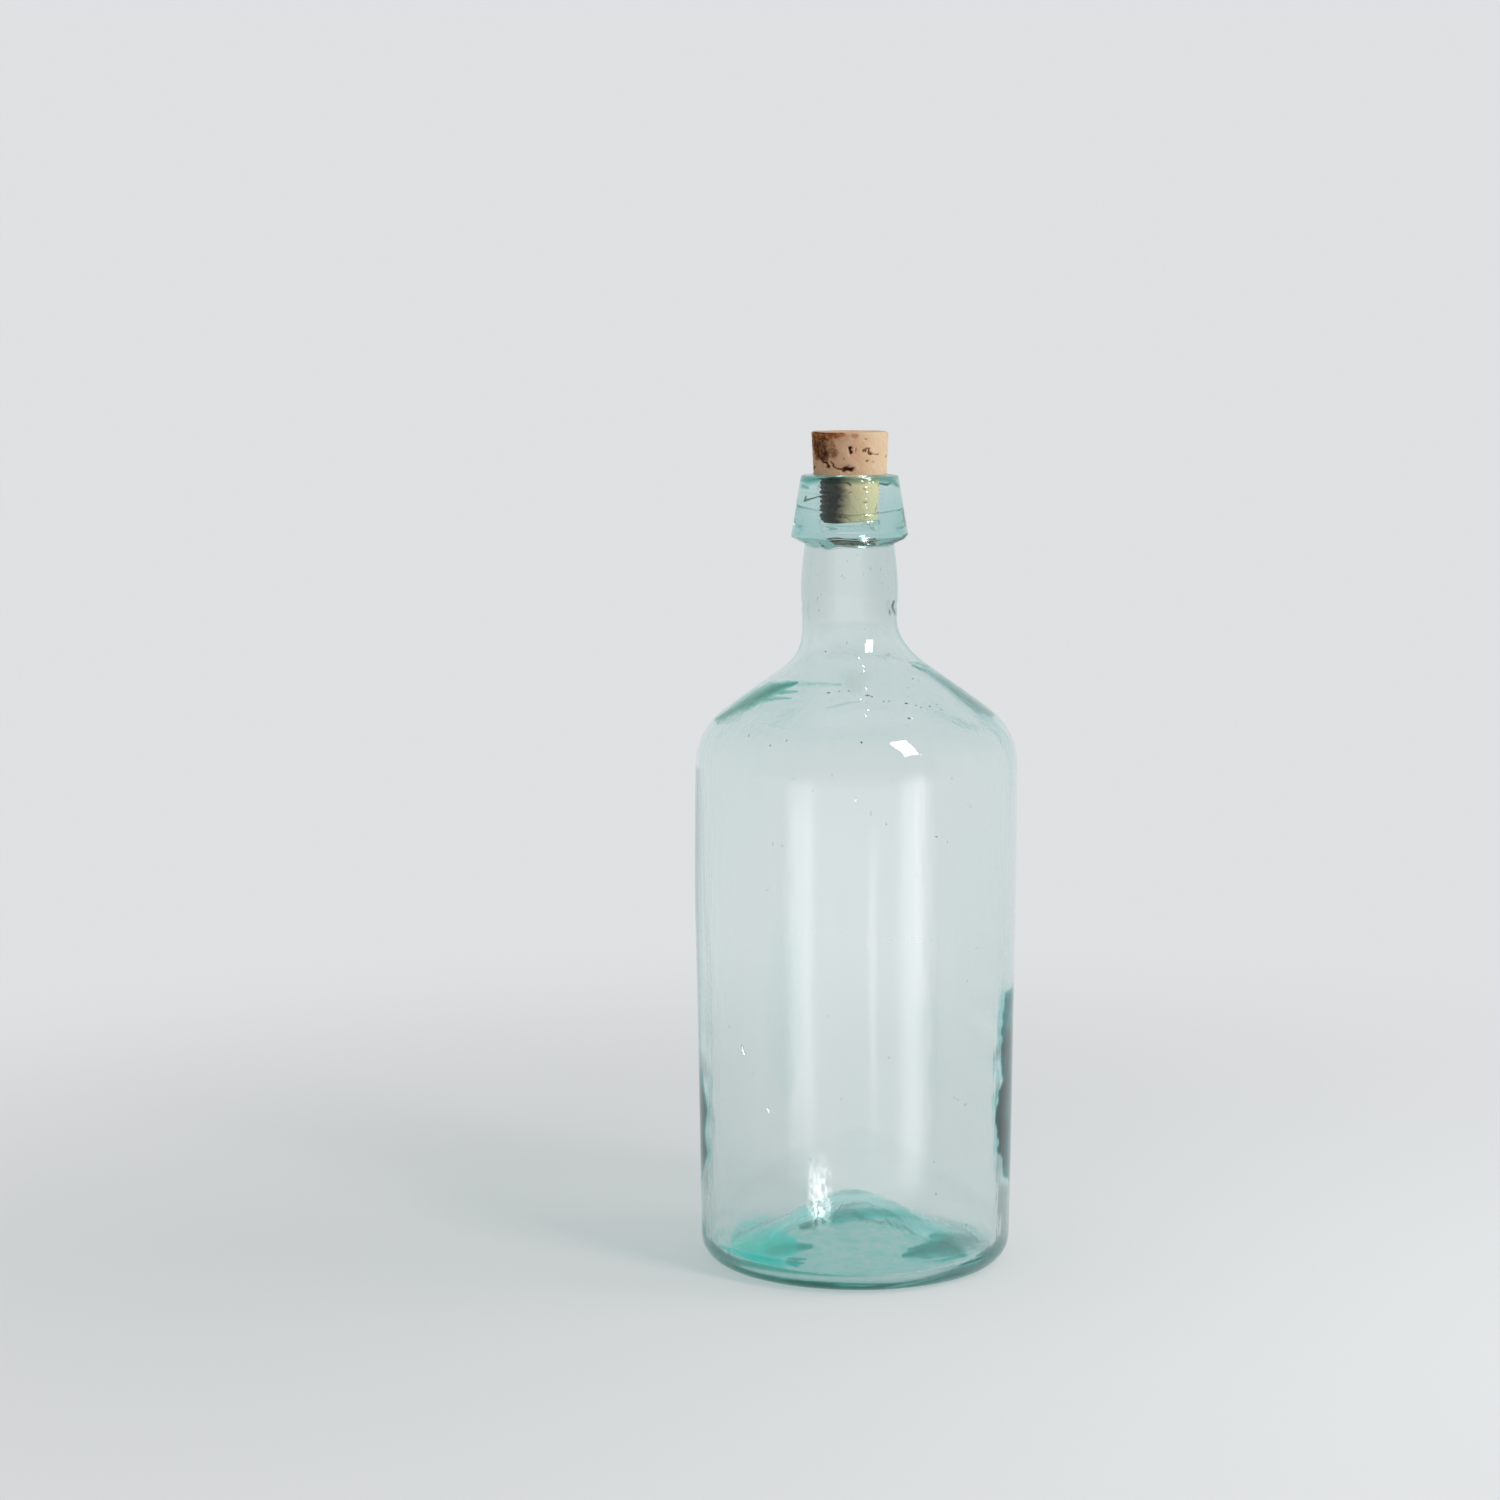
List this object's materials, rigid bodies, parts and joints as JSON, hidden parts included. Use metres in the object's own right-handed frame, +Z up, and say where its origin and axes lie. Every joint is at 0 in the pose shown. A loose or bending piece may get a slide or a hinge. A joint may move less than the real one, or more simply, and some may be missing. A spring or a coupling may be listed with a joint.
{
  "type": "glass bottle",
  "caption": "Hand-blown pale aqua glass bottle with a sloped shoulder, a tooled collar round its mouth, a pushed-up base and a tapered natural cork that pulls out.",
  "frame": {"origin": "middle of the base, on the plane that the bottle stands on", "axes": "+Z up along the bottle's height, +X to the right and -Y towards the camera in the picture"},
  "size_m": [0.0956, 0.0956, 0.2477],
  "materials": {
    "blown_glass": "pale aqua soda glass, glossy, with seeds and slow waves in its wall",
    "collar_glass": "the same aqua glass, thicker, with tooling lines round it",
    "cork": "dry natural cork with dark pits and cracks"
  },
  "bodies": {
    "glass": {"bottle": "blown_glass", "lip_collar": "collar_glass"},
    "stopper": {"cork": "cork"}
  },
  "joints": [
    {"name": "cork_pull", "type": "slide", "parent": "glass", "child": "stopper", "axis": [0, 0, 1], "range_m": [0, 0.045]}
  ]
}
